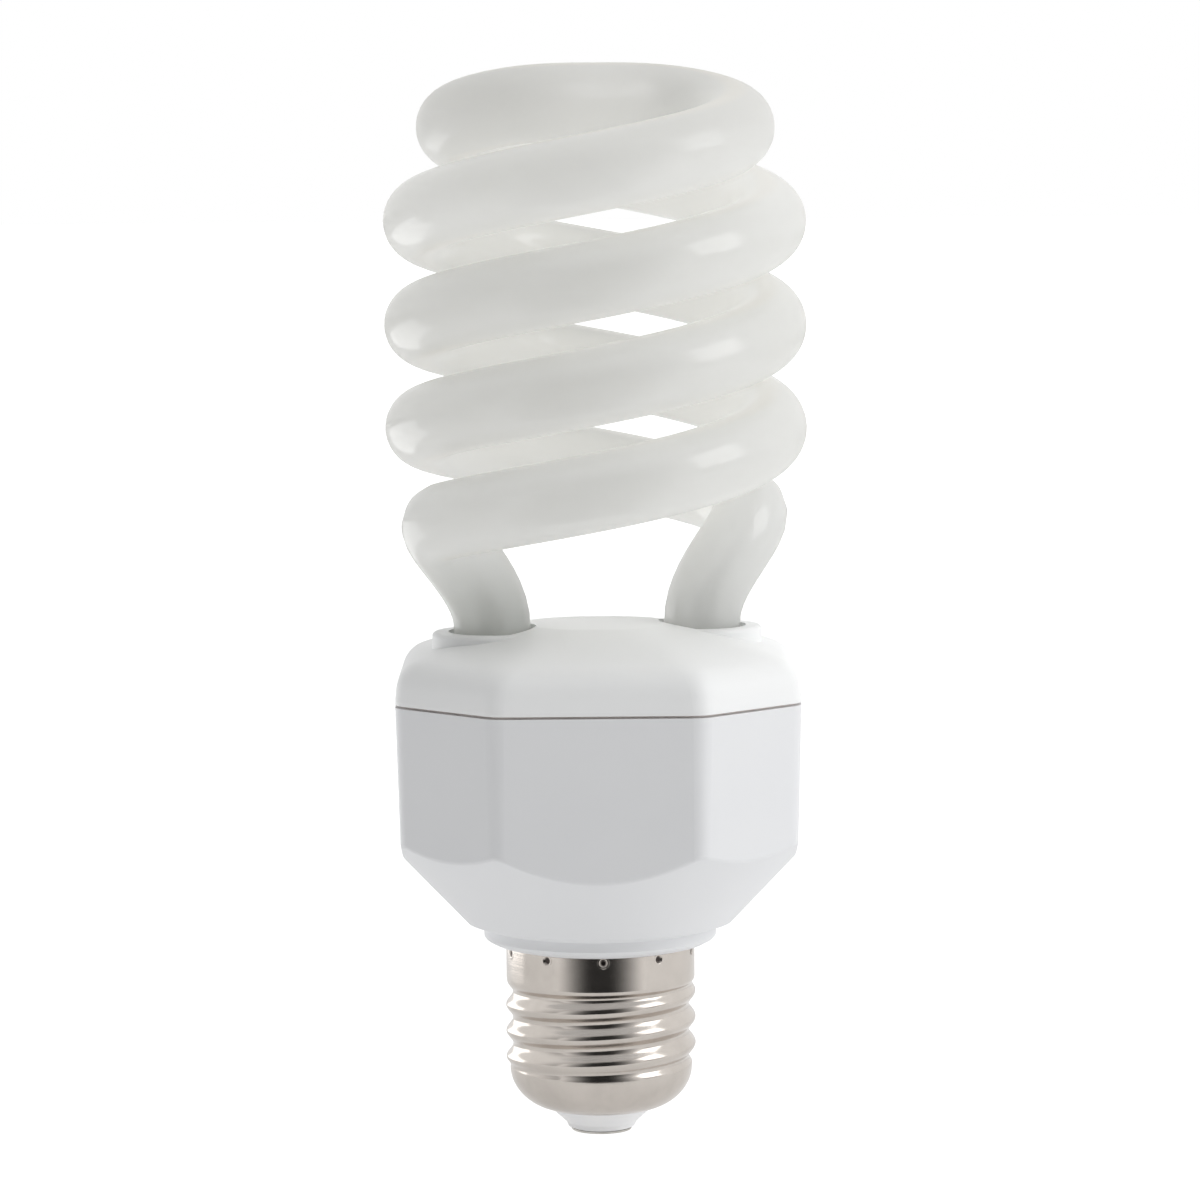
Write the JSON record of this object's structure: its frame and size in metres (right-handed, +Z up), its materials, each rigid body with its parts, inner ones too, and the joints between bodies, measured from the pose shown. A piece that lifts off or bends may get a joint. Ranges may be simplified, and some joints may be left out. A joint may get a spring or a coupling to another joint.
{
  "type": "spiral energy saving bulb",
  "caption": "Compact fluorescent lamp: a double spiral of white-coated glass tube on a chamfered plastic ballast housing with a screw cap and centre contact.",
  "frame": {"origin": "middle of the centre contact face at the foot of the screw cap", "axes": "+Z up the lamp axis from the cap to the spiral crown, -Y towards the side the picture shows"},
  "size_m": [0.0574, 0.0574, 0.1468],
  "materials": {
    "phosphor_glass": "phosphor-coated glass, smooth outside",
    "white_plastic": "satin moulded",
    "nickel_plate": "nickel-plated rolled sheet",
    "insulator": "moulded",
    "contact_metal": "tinned brass",
    "cement": "white silicone",
    "board": "phenolic board",
    "can_sleeve": "sleeved can",
    "film_body": "dipped film",
    "black_mould": "moulded",
    "ferrite": "sintered ferrite",
    "copper_wire": "enamelled copper",
    "resistor_body": "lacquered",
    "tinned_wire": "tinned wire"
  },
  "bodies": {
    "root": {"base_resistor_1": "resistor_body", "base_resistor_2": "resistor_body", "cap_insulator": "insulator", "centre_contact": "contact_metal", "choke_bobbin": "black_mould", "choke_core": "ferrite", "choke_winding": "copper_wire", "circuit_board": "board", "coupling_capacitor": "film_body", "drive_toroid": "ferrite", "drive_winding_1": "copper_wire", "drive_winding_2": "copper_wire", "drive_winding_3": "copper_wire", "filament_lead_left_inner": "tinned_wire", "filament_lead_left_outer": "tinned_wire", "filament_lead_right_inner": "tinned_wire", "filament_lead_right_outer": "tinned_wire", "filter_core": "ferrite", "filter_winding": "copper_wire", "fuse_resistor": "resistor_body", "lower_housing": "white_plastic", "noise_capacitor": "film_body", "rectifier_diode_1": "black_mould", "rectifier_diode_2": "black_mould", "rectifier_diode_3": "black_mould", "rectifier_diode_4": "black_mould", "reservoir_capacitor": "can_sleeve", "resonance_capacitor": "film_body", "screw_shell": "nickel_plate", "shell_wire": "tinned_wire", "spiral_tube": "phosphor_glass", "top_cover": "white_plastic", "transistor_lower": "black_mould", "transistor_upper": "black_mould", "tube_cement_left": "cement", "tube_cement_right": "cement"}
  },
  "joints": []
}
